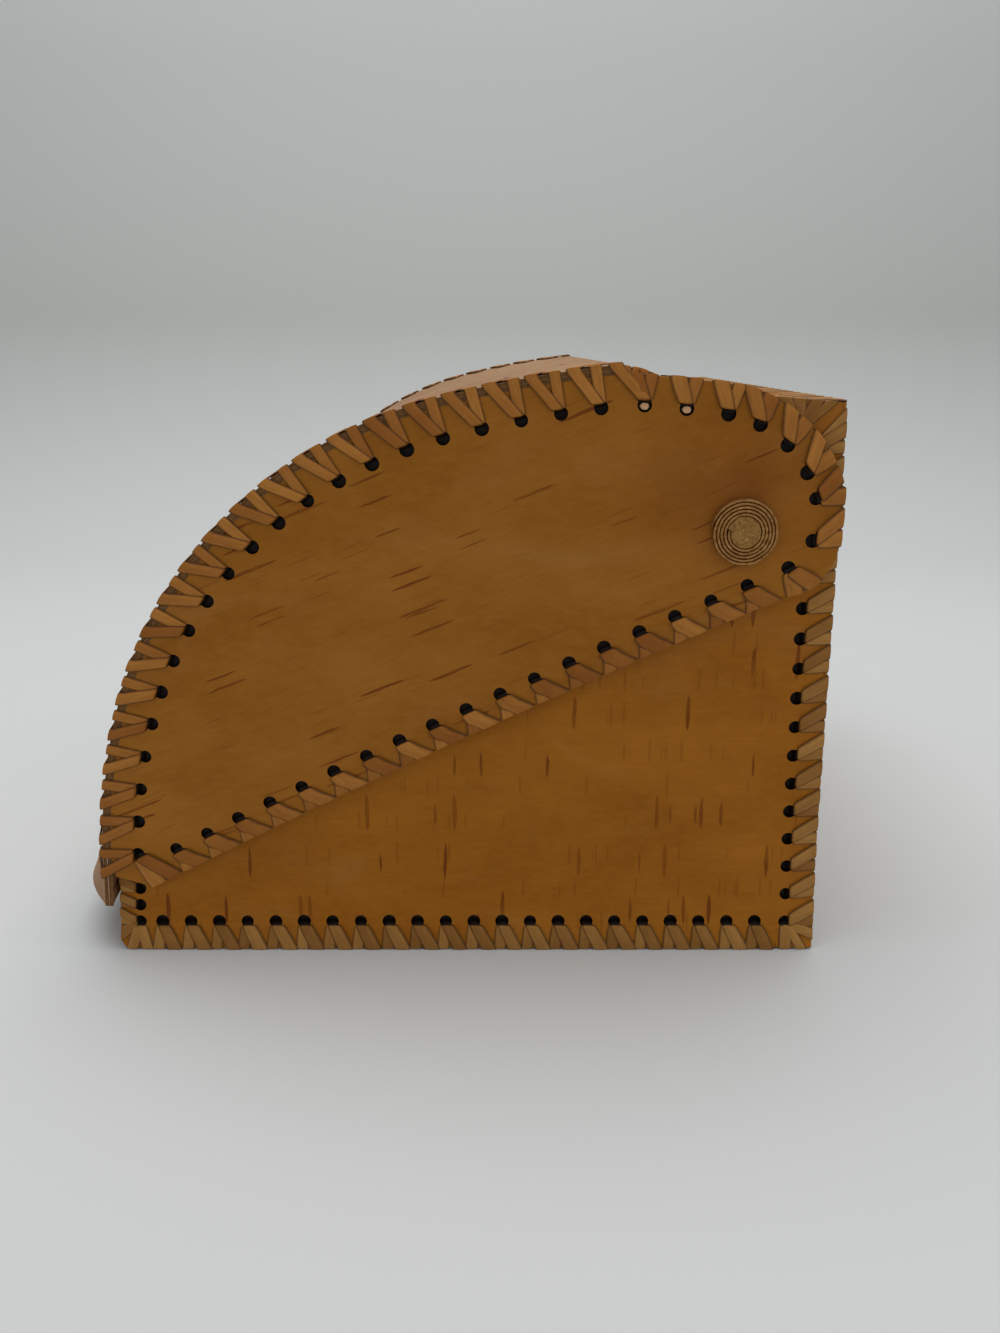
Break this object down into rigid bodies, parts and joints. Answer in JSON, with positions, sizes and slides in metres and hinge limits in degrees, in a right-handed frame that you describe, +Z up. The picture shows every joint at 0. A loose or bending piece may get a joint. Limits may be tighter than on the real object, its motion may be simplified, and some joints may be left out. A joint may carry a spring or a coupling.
{
  "type": "birch bark box",
  "caption": "Laced bark box with a curved lid that swings back over the rear on two side pegs with rolled buttons.",
  "frame": {"origin": "on the table under the middle of the box, lip to rear and side to side", "axes": "+X to the rear, -X to the lid's lip, +Y to the far side along the pegs' line, +Z up"},
  "size_m": [0.248, 0.257, 0.1889],
  "materials": {
    "bark_panel": "satin",
    "bark_lacing": "satin",
    "bark_roll": "matte",
    "peg_wood": "matte"
  },
  "bodies": {
    "box": {"base_panel": "bark_panel", "front_wall": "bark_panel", "rear_panel": "bark_panel", "top_panel": "bark_panel", "lacing_foot_front": "bark_lacing", "lacing_foot_rear": "bark_lacing", "lacing_crown": "bark_lacing", "side_panel_near": "bark_panel", "peg_near": "peg_wood", "peg_plate_near": "bark_panel", "button_near": "bark_roll", "lacing_foot_near": "bark_lacing", "lacing_rear_near": "bark_lacing", "lacing_front_near": "bark_lacing", "lacing_top_near": "bark_lacing", "side_panel_far": "bark_panel", "peg_far": "peg_wood", "peg_plate_far": "bark_panel", "button_far": "bark_roll", "lacing_foot_far": "bark_lacing", "lacing_rear_far": "bark_lacing", "lacing_front_far": "bark_lacing", "lacing_top_far": "bark_lacing"},
    "lid": {"cover_outer": "bark_panel", "cover_lining": "bark_panel", "lid_side_near": "bark_panel", "lacing_cover_near": "bark_lacing", "lacing_lid_near": "bark_lacing", "lid_side_far": "bark_panel", "lacing_cover_far": "bark_lacing", "lacing_lid_far": "bark_lacing"}
  },
  "joints": [
    {"name": "lid_swing", "type": "hinge", "parent": "box", "child": "lid", "pos_m": [0.0913, 0, 0.14], "axis": [0, 1, 0], "range_deg": [0, 180]}
  ]
}
